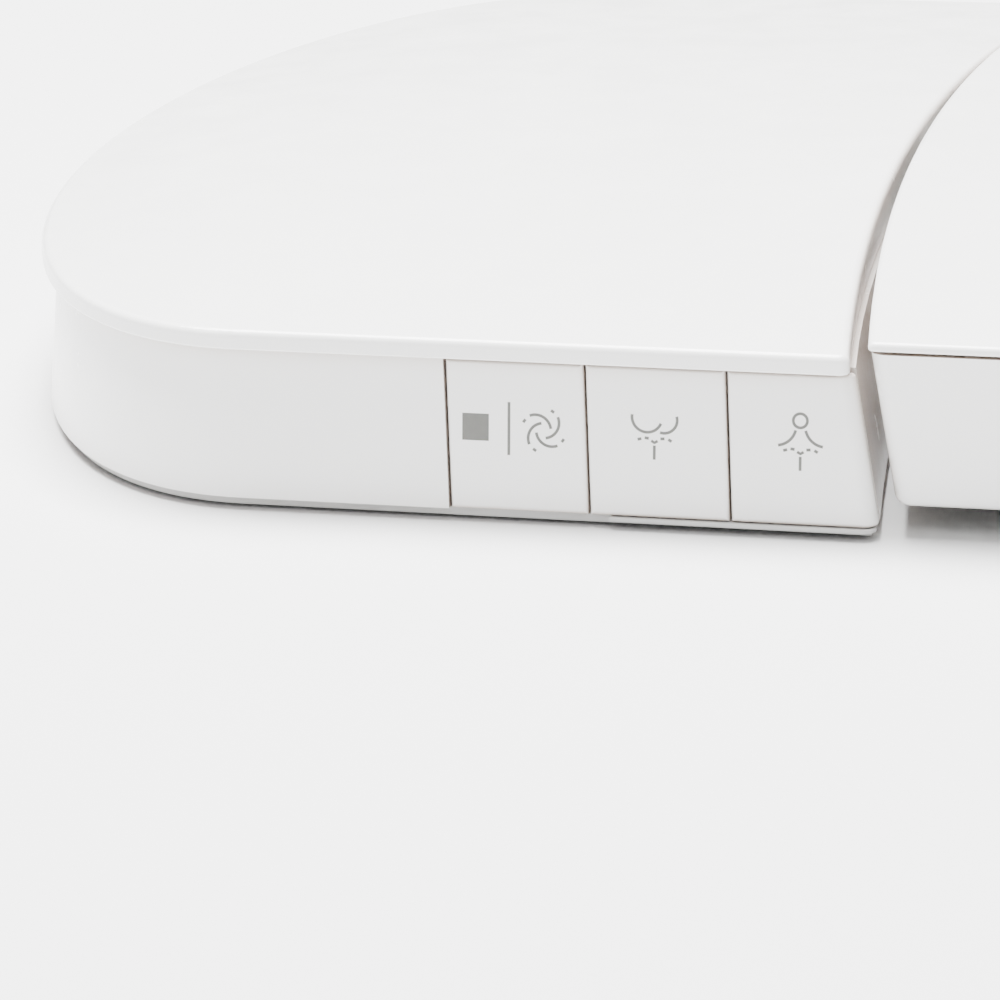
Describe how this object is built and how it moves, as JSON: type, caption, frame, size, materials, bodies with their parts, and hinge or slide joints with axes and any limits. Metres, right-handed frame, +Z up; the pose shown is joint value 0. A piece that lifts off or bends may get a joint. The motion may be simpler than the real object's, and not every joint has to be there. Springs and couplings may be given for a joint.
{
  "type": "electric bidet seat",
  "caption": "Electric bidet seat: flat rear housing with side wash keys, hinged heated seat and lid, sliding spray nozzle and slotted mounting plate.",
  "frame": {"origin": "midway between the two mounting bolts, on the plane of the ceramic rim the seat rests on", "axes": "+Z up, -Y towards the front of the seat, -X towards the side with the wash keys, which is the seated user's right"},
  "size_m": [0.3902, 0.557, 0.0473],
  "materials": {
    "white_gloss": "glossy moulded white plastic",
    "grey_plastic": "matt moulded grey plastic",
    "plate_steel": "plated sheet and bar",
    "rubber": "soft light grey rubber",
    "nozzle_white": "smooth nozzle plastic",
    "brass": "turned",
    "board": "printed circuit board",
    "foil": "thin foil",
    "carbon": "activated carbon honeycomb",
    "filter": "woven mesh",
    "lens": "frosted"
  },
  "bodies": {
    "housing": {"air_duct": "grey_plastic", "air_heater": "plate_steel", "base_pads": "rubber", "base_tray": "grey_plastic", "blower_case": "grey_plastic", "blower_motor": "plate_steel", "cord_gland": "grey_plastic", "deodoriser_cartridge": "carbon", "deodoriser_case": "grey_plastic", "deodoriser_motor": "plate_steel", "diverter_valve": "grey_plastic", "feed_pipe": "rubber", "hinge_bracket_left": "grey_plastic", "hinge_bracket_right": "grey_plastic", "hose_pump": "rubber", "hose_valve": "rubber", "housing_screws": "plate_steel", "inlet_connector": "brass", "inlet_filter": "filter", "key_board": "board", "key_guide": "grey_plastic", "key_switches": "grey_plastic", "lid_damper": "grey_plastic", "main_board": "board", "mounting_plate": "plate_steel", "night_light_lens": "lens", "nozzle_cradle": "grey_plastic", "nozzle_motor": "plate_steel", "power_module": "grey_plastic", "pump": "grey_plastic", "release_latch": "grey_plastic", "seat_damper": "grey_plastic", "side_band": "white_gloss", "solenoid_valve": "grey_plastic", "top_cover": "white_gloss", "water_heater": "grey_plastic"},
    "stop_key": {"key_stop": "white_gloss"},
    "rear_wash_key": {"key_rear_wash": "white_gloss"},
    "front_wash_key": {"key_front_wash": "white_gloss"},
    "seat": {"seat_shell": "white_gloss", "seat_base": "grey_plastic", "seat_bumpers": "rubber", "seat_heater": "foil", "occupancy_sensor": "foil", "seat_hinge_pin": "plate_steel"},
    "lid": {"lid_panel": "white_gloss", "lid_hinge_pin": "plate_steel", "lid_bumpers": "rubber"},
    "nozzle": {"nozzle_wand": "nozzle_white", "nozzle_tip": "nozzle_white"},
    "pinion": {"nozzle_pinion": "grey_plastic"},
    "impeller": {"blower_impeller": "grey_plastic"},
    "rotor": {"deodoriser_rotor": "grey_plastic"},
    "flap": {"outlet_flap": "grey_plastic"},
    "release": {"release_button": "white_gloss"}
  },
  "joints": [
    {"name": "seat_hinge", "type": "hinge", "parent": "housing", "child": "seat", "pos_m": [0, -0.1061, 0.0413], "axis": [1, 0, 0], "range_deg": [-95, 0]},
    {"name": "lid_hinge", "type": "hinge", "parent": "seat", "child": "lid", "pos_m": [0, -0.1061, 0.0413], "axis": [-1, 0, 0], "range_deg": [0, 100]},
    {"name": "stop_press", "type": "slide", "parent": "housing", "child": "stop_key", "axis": [1, 0, 0], "range_m": [0, 0.0012], "stiffness_N_per_m": 1500, "springref_m": -0.0006},
    {"name": "rear_wash_press", "type": "slide", "parent": "housing", "child": "rear_wash_key", "axis": [1, 0, 0], "range_m": [0, 0.0012], "stiffness_N_per_m": 1500, "springref_m": -0.0006},
    {"name": "front_wash_press", "type": "slide", "parent": "housing", "child": "front_wash_key", "axis": [1, 0, 0], "range_m": [0, 0.0012], "stiffness_N_per_m": 1500, "springref_m": -0.0006},
    {"name": "nozzle_slide", "type": "slide", "parent": "housing", "child": "nozzle", "axis": [0, -0.9781, -0.2079], "range_m": [0, 0.095]},
    {"name": "pinion_spin", "type": "hinge", "parent": "housing", "child": "pinion", "pos_m": [0, -0.06993, 0.02351], "axis": [1, 0, 0], "range_deg": [-980, 10]},
    {"name": "impeller_spin", "type": "hinge", "parent": "housing", "child": "impeller", "pos_m": [0.096, -0.03, 0.01], "axis": [0, 0, 1], "continuous": true},
    {"name": "rotor_spin", "type": "hinge", "parent": "housing", "child": "rotor", "pos_m": [-0.062, -0.07, 0.01], "axis": [0, 0, 1], "continuous": true},
    {"name": "flap_swing", "type": "hinge", "parent": "housing", "child": "flap", "pos_m": [0.0505, -0.1012, 0.0122], "axis": [-1, 0, 0], "range_deg": [0, 60]},
    {"name": "release_press", "type": "slide", "parent": "housing", "child": "release", "axis": [-1, 0, 0], "range_m": [0, 0.003], "stiffness_N_per_m": 1200, "springref_m": -0.001}
  ],
  "couplings": [
    {"joint": "pinion_spin", "follows": "nozzle_slide", "rad_per_m": -178.57}
  ]
}
